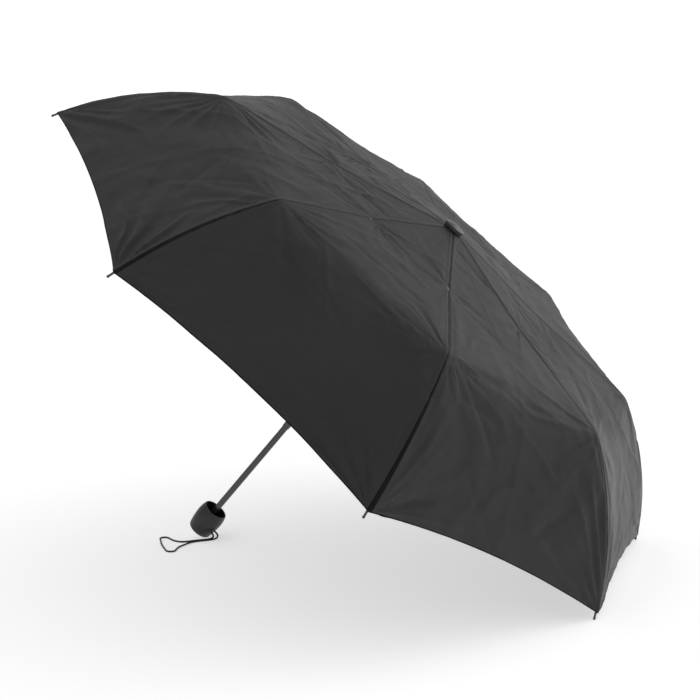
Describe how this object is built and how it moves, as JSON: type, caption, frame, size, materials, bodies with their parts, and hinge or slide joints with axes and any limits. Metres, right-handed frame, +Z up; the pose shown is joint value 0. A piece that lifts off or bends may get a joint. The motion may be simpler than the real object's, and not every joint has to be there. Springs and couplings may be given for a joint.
{
  "type": "folding umbrella",
  "caption": "Compact folding umbrella, open: telescoping shaft, runner and three-fold ribs under a dark cloth canopy, short barrel handle with a wrist strap.",
  "frame": {"origin": "middle of the underside of the box around the open umbrella without its strap, on the floor it lies on", "axes": "+Z up from the floor; +X the way the shaft leans, from the handle towards the cap; +Y across, to the left when looking along +X"},
  "size_m": [0.7016, 0.8996, 0.6029],
  "materials": {
    "handle_plastic": "satin moulded",
    "cap_plastic": "moulded",
    "nylon": "moulded nylon",
    "black_steel": "semi-gloss black lacquer",
    "spring_wire": "drawn wire",
    "rib_steel": "zinc plated, rolled channel",
    "rib_wire": "black lacquered wire",
    "cover_cloth": "woven polyester",
    "strap_cord": "braided cord"
  },
  "bodies": {
    "handle_and_lower_tube": {"handle": "handle_plastic", "handle_core": "handle_plastic", "foot_plug": "handle_plastic", "lower_tube": "black_steel", "lower_tube_bush": "nylon", "wrist_strap": "strap_cord"},
    "middle_tube": {"middle_tube": "black_steel", "middle_tube_collar": "black_steel", "middle_tube_bush": "nylon"},
    "upper_tube": {"upper_tube": "black_steel", "upper_tube_collar": "black_steel", "top_notch": "nylon", "notch_ring": "spring_wire", "notch_pin": "spring_wire", "cap": "cap_plastic", "canopy": "cover_cloth", "tie_strap": "cover_cloth"},
    "runner": {"runner": "nylon", "runner_ring": "spring_wire"},
    "runner_button": {"runner_button": "cap_plastic"},
    "top_rib_1": {"top_rib_1": "rib_steel"},
    "stretcher_1": {"stretcher_1": "rib_steel"},
    "connecting_bar_1": {"connecting_bar_1": "rib_steel"},
    "middle_rib_1": {"middle_rib_1": "rib_steel"},
    "outer_rib_1": {"outer_rib_1": "rib_wire"},
    "top_rib_2": {"top_rib_2": "rib_steel"},
    "stretcher_2": {"stretcher_2": "rib_steel"},
    "connecting_bar_2": {"connecting_bar_2": "rib_steel"},
    "middle_rib_2": {"middle_rib_2": "rib_steel"},
    "outer_rib_2": {"outer_rib_2": "rib_wire"},
    "top_rib_3": {"top_rib_3": "rib_steel"},
    "stretcher_3": {"stretcher_3": "rib_steel"},
    "connecting_bar_3": {"connecting_bar_3": "rib_steel"},
    "middle_rib_3": {"middle_rib_3": "rib_steel"},
    "outer_rib_3": {"outer_rib_3": "rib_wire"},
    "top_rib_4": {"top_rib_4": "rib_steel"},
    "stretcher_4": {"stretcher_4": "rib_steel"},
    "connecting_bar_4": {"connecting_bar_4": "rib_steel"},
    "middle_rib_4": {"middle_rib_4": "rib_steel"},
    "outer_rib_4": {"outer_rib_4": "rib_wire"},
    "top_rib_5": {"top_rib_5": "rib_steel"},
    "stretcher_5": {"stretcher_5": "rib_steel"},
    "connecting_bar_5": {"connecting_bar_5": "rib_steel"},
    "middle_rib_5": {"middle_rib_5": "rib_steel"},
    "outer_rib_5": {"outer_rib_5": "rib_wire"},
    "top_rib_6": {"top_rib_6": "rib_steel"},
    "stretcher_6": {"stretcher_6": "rib_steel"},
    "connecting_bar_6": {"connecting_bar_6": "rib_steel"},
    "middle_rib_6": {"middle_rib_6": "rib_steel"},
    "outer_rib_6": {"outer_rib_6": "rib_wire"},
    "top_rib_7": {"top_rib_7": "rib_steel"},
    "stretcher_7": {"stretcher_7": "rib_steel"},
    "connecting_bar_7": {"connecting_bar_7": "rib_steel"},
    "middle_rib_7": {"middle_rib_7": "rib_steel"},
    "outer_rib_7": {"outer_rib_7": "rib_wire"},
    "top_rib_8": {"top_rib_8": "rib_steel"},
    "stretcher_8": {"stretcher_8": "rib_steel"},
    "connecting_bar_8": {"connecting_bar_8": "rib_steel"},
    "middle_rib_8": {"middle_rib_8": "rib_steel"},
    "outer_rib_8": {"outer_rib_8": "rib_wire"}
  },
  "joints": [
    {"name": "middle_tube_slide", "type": "slide", "parent": "handle_and_lower_tube", "child": "middle_tube", "axis": [-0.6374, 0, -0.7706], "range_m": [0, 0.155]},
    {"name": "upper_tube_slide", "type": "slide", "parent": "middle_tube", "child": "upper_tube", "axis": [-0.6374, 0, -0.7706], "range_m": [0, 0.163]},
    {"name": "runner_slide", "type": "slide", "parent": "upper_tube", "child": "runner", "axis": [-0.6374, 0, -0.7706], "range_m": [0, 0.12289], "deforming": ["canopy", "tie_strap"]},
    {"name": "runner_button_press", "type": "slide", "parent": "runner", "child": "runner_button", "axis": [0.7706, 0, -0.6374], "range_m": [0, 0.0012], "stiffness_N_per_m": 800, "springref_m": -0.0015},
    {"name": "top_rib_1_hinge", "type": "hinge", "parent": "upper_tube", "child": "top_rib_1", "pos_m": [0.11981, 0.00308, 0.42514], "axis": [0.2965, -0.923, -0.2452], "range_deg": [-80.82, 0]},
    {"name": "stretcher_1_hinge", "type": "hinge", "parent": "runner", "child": "stretcher_1", "pos_m": [0.09449, 0.00354, 0.3928], "axis": [0.2965, -0.923, -0.2452], "range_deg": [0, 67.55]},
    {"name": "connecting_bar_1_hinge", "type": "hinge", "parent": "stretcher_1", "child": "connecting_bar_1", "pos_m": [0.15897, 0.02931, 0.37375], "axis": [0.2965, -0.923, -0.2452], "range_deg": [-145.78, 0]},
    {"name": "middle_rib_1_hinge", "type": "hinge", "parent": "top_rib_1", "child": "middle_rib_1", "pos_m": [0.2173, 0.06272, 0.31854], "axis": [0.2965, -0.923, -0.2452], "range_deg": [0, 175.37]},
    {"name": "outer_rib_1_hinge", "type": "hinge", "parent": "middle_rib_1", "child": "outer_rib_1", "pos_m": [0.32569, 0.12698, 0.20774], "axis": [0.2965, -0.923, -0.2452], "range_deg": [-142.61, 0]},
    {"name": "top_rib_2_hinge", "type": "hinge", "parent": "upper_tube", "child": "top_rib_2", "pos_m": [0.11646, 0.0074, 0.4279], "axis": [0.7126, -0.3806, -0.5894], "range_deg": [-80.82, 0]},
    {"name": "stretcher_2_hinge", "type": "hinge", "parent": "runner", "child": "stretcher_2", "pos_m": [0.09065, 0.00851, 0.39598], "axis": [0.7126, -0.3806, -0.5894], "range_deg": [0, 67.55]},
    {"name": "connecting_bar_2_hinge", "type": "hinge", "parent": "stretcher_2", "child": "connecting_bar_2", "pos_m": [0.12713, 0.07045, 0.40009], "axis": [0.7126, -0.3806, -0.5894], "range_deg": [-145.78, 0]},
    {"name": "middle_rib_2_hinge", "type": "hinge", "parent": "top_rib_2", "child": "middle_rib_2", "pos_m": [0.14917, 0.15073, 0.37489], "axis": [0.7126, -0.3806, -0.5894], "range_deg": [0, 175.37]},
    {"name": "outer_rib_2_hinge", "type": "hinge", "parent": "middle_rib_2", "child": "outer_rib_2", "pos_m": [0.18776, 0.30517, 0.32183], "axis": [0.7126, -0.3806, -0.5894], "range_deg": [-142.61, 0]},
    {"name": "top_rib_3_hinge", "type": "hinge", "parent": "upper_tube", "child": "top_rib_3", "pos_m": [0.11175, 0.00738, 0.43181], "axis": [0.7112, 0.3848, -0.5883], "range_deg": [-80.82, 0]},
    {"name": "stretcher_3_hinge", "type": "hinge", "parent": "runner", "child": "stretcher_3", "pos_m": [0.08522, 0.00849, 0.40047], "axis": [0.7112, 0.3848, -0.5883], "range_deg": [0, 67.55]},
    {"name": "connecting_bar_3_hinge", "type": "hinge", "parent": "stretcher_3", "child": "connecting_bar_3", "pos_m": [0.0822, 0.07031, 0.43725], "axis": [0.7112, 0.3848, -0.5883], "range_deg": [-145.78, 0]},
    {"name": "middle_rib_3_hinge", "type": "hinge", "parent": "top_rib_3", "child": "middle_rib_3", "pos_m": [0.05304, 0.15045, 0.45441], "axis": [0.7112, 0.3848, -0.5883], "range_deg": [0, 175.37]},
    {"name": "outer_rib_3_hinge", "type": "hinge", "parent": "middle_rib_3", "child": "outer_rib_3", "pos_m": [-0.00686, 0.30459, 0.4828], "axis": [0.7112, 0.3848, -0.5883], "range_deg": [-142.61, 0]},
    {"name": "top_rib_4_hinge", "type": "hinge", "parent": "upper_tube", "child": "top_rib_4", "pos_m": [0.10842, 0.00304, 0.43456], "axis": [0.2933, 0.9247, -0.2426], "range_deg": [-80.82, 0]},
    {"name": "stretcher_4_hinge", "type": "hinge", "parent": "runner", "child": "stretcher_4", "pos_m": [0.08139, 0.0035, 0.40363], "axis": [0.2933, 0.9247, -0.2426], "range_deg": [0, 67.55]},
    {"name": "connecting_bar_4_hinge", "type": "hinge", "parent": "stretcher_4", "child": "connecting_bar_4", "pos_m": [0.0505, 0.02899, 0.46346], "axis": [0.2933, 0.9247, -0.2426], "range_deg": [-145.78, 0]},
    {"name": "middle_rib_4_hinge", "type": "hinge", "parent": "top_rib_4", "child": "middle_rib_4", "pos_m": [-0.01478, 0.06204, 0.51051], "axis": [0.2933, 0.9247, -0.2426], "range_deg": [0, 175.37]},
    {"name": "outer_rib_4_hinge", "type": "hinge", "parent": "middle_rib_4", "child": "outer_rib_4", "pos_m": [-0.14417, 0.12559, 0.59637], "axis": [0.2933, 0.9247, -0.2426], "range_deg": [-142.61, 0]},
    {"name": "top_rib_5_hinge", "type": "hinge", "parent": "upper_tube", "child": "top_rib_5", "pos_m": [0.10843, -0.00308, 0.43455], "axis": [-0.2965, 0.923, 0.2452], "range_deg": [-80.82, 0]},
    {"name": "stretcher_5_hinge", "type": "hinge", "parent": "runner", "child": "stretcher_5", "pos_m": [0.08141, -0.00354, 0.40362], "axis": [-0.2965, 0.923, 0.2452], "range_deg": [0, 67.55]},
    {"name": "connecting_bar_5_hinge", "type": "hinge", "parent": "stretcher_5", "child": "connecting_bar_5", "pos_m": [0.0506, -0.02931, 0.46338], "axis": [-0.2965, 0.923, 0.2452], "range_deg": [-145.78, 0]},
    {"name": "middle_rib_5_hinge", "type": "hinge", "parent": "top_rib_5", "child": "middle_rib_5", "pos_m": [-0.01456, -0.06272, 0.51033], "axis": [-0.2965, 0.923, 0.2452], "range_deg": [0, 175.37]},
    {"name": "outer_rib_5_hinge", "type": "hinge", "parent": "middle_rib_5", "child": "outer_rib_5", "pos_m": [-0.14373, -0.12698, 0.59601], "axis": [-0.2965, 0.923, 0.2452], "range_deg": [-142.61, 0]},
    {"name": "top_rib_6_hinge", "type": "hinge", "parent": "upper_tube", "child": "top_rib_6", "pos_m": [0.11177, -0.0074, 0.43179], "axis": [-0.7126, 0.3806, 0.5894], "range_deg": [-80.82, 0]},
    {"name": "stretcher_6_hinge", "type": "hinge", "parent": "runner", "child": "stretcher_6", "pos_m": [0.08525, -0.00851, 0.40044], "axis": [-0.7126, 0.3806, 0.5894], "range_deg": [0, 67.55]},
    {"name": "connecting_bar_6_hinge", "type": "hinge", "parent": "stretcher_6", "child": "connecting_bar_6", "pos_m": [0.08245, -0.07045, 0.43704], "axis": [-0.7126, 0.3806, 0.5894], "range_deg": [-145.78, 0]},
    {"name": "middle_rib_6_hinge", "type": "hinge", "parent": "top_rib_6", "child": "middle_rib_6", "pos_m": [0.05357, -0.15073, 0.45397], "axis": [-0.7126, 0.3806, 0.5894], "range_deg": [0, 175.37]},
    {"name": "outer_rib_6_hinge", "type": "hinge", "parent": "middle_rib_6", "child": "outer_rib_6", "pos_m": [-0.0058, -0.30517, 0.48192], "axis": [-0.7126, 0.3806, 0.5894], "range_deg": [-142.61, 0]},
    {"name": "top_rib_7_hinge", "type": "hinge", "parent": "upper_tube", "child": "top_rib_7", "pos_m": [0.11649, -0.00738, 0.42788], "axis": [-0.7112, -0.3848, 0.5883], "range_deg": [-80.82, 0]},
    {"name": "stretcher_7_hinge", "type": "hinge", "parent": "runner", "child": "stretcher_7", "pos_m": [0.09068, -0.00849, 0.39595], "axis": [-0.7112, -0.3848, 0.5883], "range_deg": [0, 67.55]},
    {"name": "connecting_bar_7_hinge", "type": "hinge", "parent": "stretcher_7", "child": "connecting_bar_7", "pos_m": [0.12737, -0.07031, 0.39988], "axis": [-0.7112, -0.3848, 0.5883], "range_deg": [-145.78, 0]},
    {"name": "middle_rib_7_hinge", "type": "hinge", "parent": "top_rib_7", "child": "middle_rib_7", "pos_m": [0.1497, -0.15045, 0.37446], "axis": [-0.7112, -0.3848, 0.5883], "range_deg": [0, 175.37]},
    {"name": "outer_rib_7_hinge", "type": "hinge", "parent": "middle_rib_7", "child": "outer_rib_7", "pos_m": [0.18882, -0.30459, 0.32094], "axis": [-0.7112, -0.3848, 0.5883], "range_deg": [-142.61, 0]},
    {"name": "top_rib_8_hinge", "type": "hinge", "parent": "upper_tube", "child": "top_rib_8", "pos_m": [0.11982, -0.00304, 0.42513], "axis": [-0.2933, -0.9247, 0.2426], "range_deg": [-80.82, 0]},
    {"name": "stretcher_8_hinge", "type": "hinge", "parent": "runner", "child": "stretcher_8", "pos_m": [0.09451, -0.0035, 0.39279], "axis": [-0.2933, -0.9247, 0.2426], "range_deg": [0, 67.55]},
    {"name": "connecting_bar_8_hinge", "type": "hinge", "parent": "stretcher_8", "child": "connecting_bar_8", "pos_m": [0.15907, -0.02899, 0.37366], "axis": [-0.2933, -0.9247, 0.2426], "range_deg": [-145.78, 0]},
    {"name": "middle_rib_8_hinge", "type": "hinge", "parent": "top_rib_8", "child": "middle_rib_8", "pos_m": [0.21752, -0.06204, 0.31836], "axis": [-0.2933, -0.9247, 0.2426], "range_deg": [0, 175.37]},
    {"name": "outer_rib_8_hinge", "type": "hinge", "parent": "middle_rib_8", "child": "outer_rib_8", "pos_m": [0.32613, -0.12559, 0.20737], "axis": [-0.2933, -0.9247, 0.2426], "range_deg": [-142.61, 0]}
  ],
  "couplings": [
    {"joint": "top_rib_1_hinge", "follows": "runner_slide", "rad_per_m": -11.478},
    {"joint": "stretcher_1_hinge", "follows": "runner_slide", "rad_per_m": 9.5935},
    {"joint": "connecting_bar_1_hinge", "follows": "runner_slide", "rad_per_m": -20.704},
    {"joint": "middle_rib_1_hinge", "follows": "runner_slide", "rad_per_m": 24.906},
    {"joint": "outer_rib_1_hinge", "follows": "runner_slide", "rad_per_m": -20.253},
    {"joint": "top_rib_2_hinge", "follows": "runner_slide", "rad_per_m": -11.478},
    {"joint": "stretcher_2_hinge", "follows": "runner_slide", "rad_per_m": 9.5935},
    {"joint": "connecting_bar_2_hinge", "follows": "runner_slide", "rad_per_m": -20.704},
    {"joint": "middle_rib_2_hinge", "follows": "runner_slide", "rad_per_m": 24.906},
    {"joint": "outer_rib_2_hinge", "follows": "runner_slide", "rad_per_m": -20.253},
    {"joint": "top_rib_3_hinge", "follows": "runner_slide", "rad_per_m": -11.478},
    {"joint": "stretcher_3_hinge", "follows": "runner_slide", "rad_per_m": 9.5935},
    {"joint": "connecting_bar_3_hinge", "follows": "runner_slide", "rad_per_m": -20.704},
    {"joint": "middle_rib_3_hinge", "follows": "runner_slide", "rad_per_m": 24.906},
    {"joint": "outer_rib_3_hinge", "follows": "runner_slide", "rad_per_m": -20.253},
    {"joint": "top_rib_4_hinge", "follows": "runner_slide", "rad_per_m": -11.478},
    {"joint": "stretcher_4_hinge", "follows": "runner_slide", "rad_per_m": 9.5935},
    {"joint": "connecting_bar_4_hinge", "follows": "runner_slide", "rad_per_m": -20.704},
    {"joint": "middle_rib_4_hinge", "follows": "runner_slide", "rad_per_m": 24.906},
    {"joint": "outer_rib_4_hinge", "follows": "runner_slide", "rad_per_m": -20.253},
    {"joint": "top_rib_5_hinge", "follows": "runner_slide", "rad_per_m": -11.478},
    {"joint": "stretcher_5_hinge", "follows": "runner_slide", "rad_per_m": 9.5935},
    {"joint": "connecting_bar_5_hinge", "follows": "runner_slide", "rad_per_m": -20.704},
    {"joint": "middle_rib_5_hinge", "follows": "runner_slide", "rad_per_m": 24.906},
    {"joint": "outer_rib_5_hinge", "follows": "runner_slide", "rad_per_m": -20.253},
    {"joint": "top_rib_6_hinge", "follows": "runner_slide", "rad_per_m": -11.478},
    {"joint": "stretcher_6_hinge", "follows": "runner_slide", "rad_per_m": 9.5935},
    {"joint": "connecting_bar_6_hinge", "follows": "runner_slide", "rad_per_m": -20.704},
    {"joint": "middle_rib_6_hinge", "follows": "runner_slide", "rad_per_m": 24.906},
    {"joint": "outer_rib_6_hinge", "follows": "runner_slide", "rad_per_m": -20.253},
    {"joint": "top_rib_7_hinge", "follows": "runner_slide", "rad_per_m": -11.478},
    {"joint": "stretcher_7_hinge", "follows": "runner_slide", "rad_per_m": 9.5935},
    {"joint": "connecting_bar_7_hinge", "follows": "runner_slide", "rad_per_m": -20.704},
    {"joint": "middle_rib_7_hinge", "follows": "runner_slide", "rad_per_m": 24.906},
    {"joint": "outer_rib_7_hinge", "follows": "runner_slide", "rad_per_m": -20.253},
    {"joint": "top_rib_8_hinge", "follows": "runner_slide", "rad_per_m": -11.478},
    {"joint": "stretcher_8_hinge", "follows": "runner_slide", "rad_per_m": 9.5935},
    {"joint": "connecting_bar_8_hinge", "follows": "runner_slide", "rad_per_m": -20.704},
    {"joint": "middle_rib_8_hinge", "follows": "runner_slide", "rad_per_m": 24.906},
    {"joint": "outer_rib_8_hinge", "follows": "runner_slide", "rad_per_m": -20.253}
  ]
}
